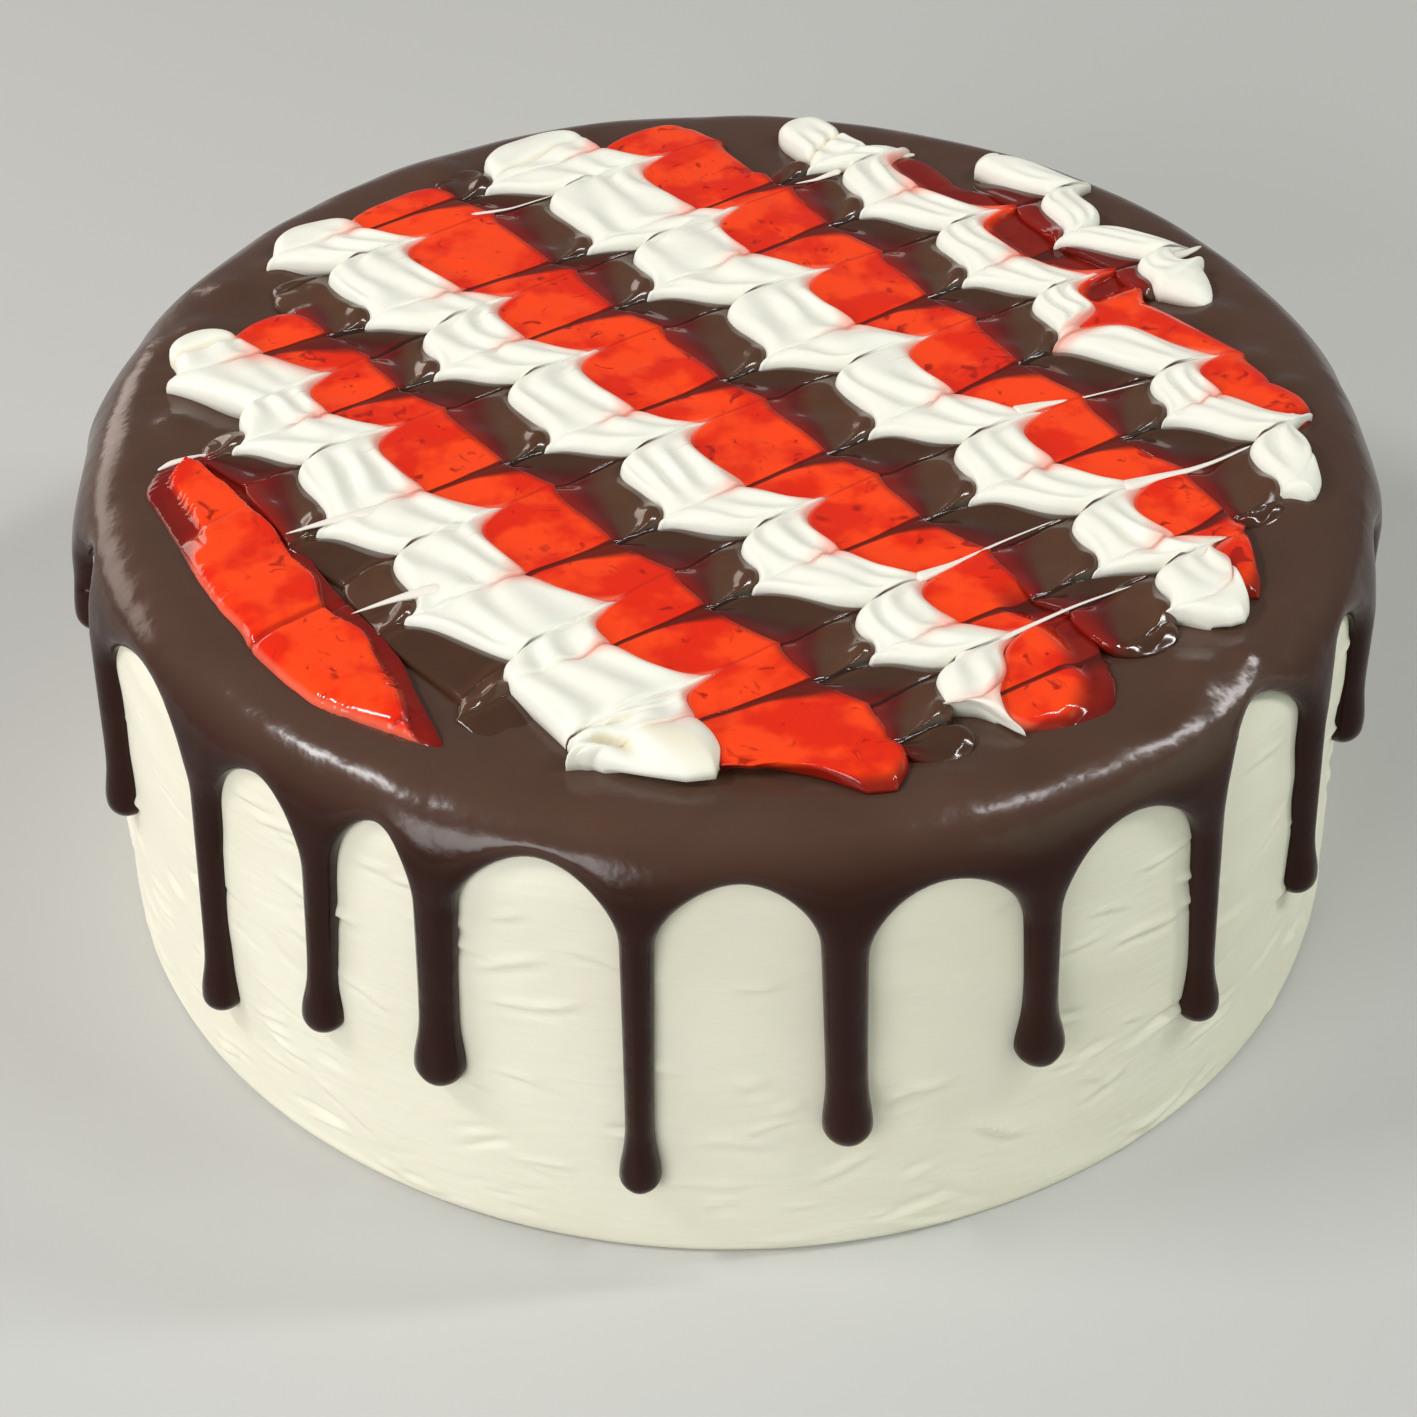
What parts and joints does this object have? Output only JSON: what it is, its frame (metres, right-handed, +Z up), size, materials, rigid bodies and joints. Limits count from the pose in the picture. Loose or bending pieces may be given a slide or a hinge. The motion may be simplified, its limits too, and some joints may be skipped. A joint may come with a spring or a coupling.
{
  "type": "chocolate cake",
  "caption": "Round iced cake with straight sides, a poured chocolate coat running down in round-ended drips, and a top of piped cream, jelly and chocolate lines dragged into feathers.",
  "frame": {"origin": "centre of the cake's flat underside, on the surface that it stands on", "axes": "+Z up along the cake's axis; -Y is the front, with +X to the right as seen from the front"},
  "size_m": [0.2079, 0.2072, 0.0867],
  "materials": {
    "buttercream": "smoothed ivory buttercream, satin, with faint knife marks",
    "ganache": "set dark chocolate ganache, softly glossy",
    "cream": "whipped cream piped through a ribbed nozzle, satin",
    "jelly": "bright red fruit jelly, wet gloss with dark specks"
  },
  "bodies": {
    "root": {"cake": "buttercream", "ganache": "ganache", "jelly_line_1": "jelly", "jelly_line_2": "jelly", "jelly_line_3": "jelly", "jelly_line_4": "jelly", "jelly_line_5": "jelly", "cream_line_1": "cream", "cream_line_2": "cream", "cream_line_3": "cream", "cream_line_4": "cream", "cream_line_5": "cream", "chocolate_line_1": "ganache", "chocolate_line_2": "ganache", "chocolate_line_3": "ganache", "chocolate_line_4": "ganache", "chocolate_line_5": "ganache"}
  },
  "joints": []
}
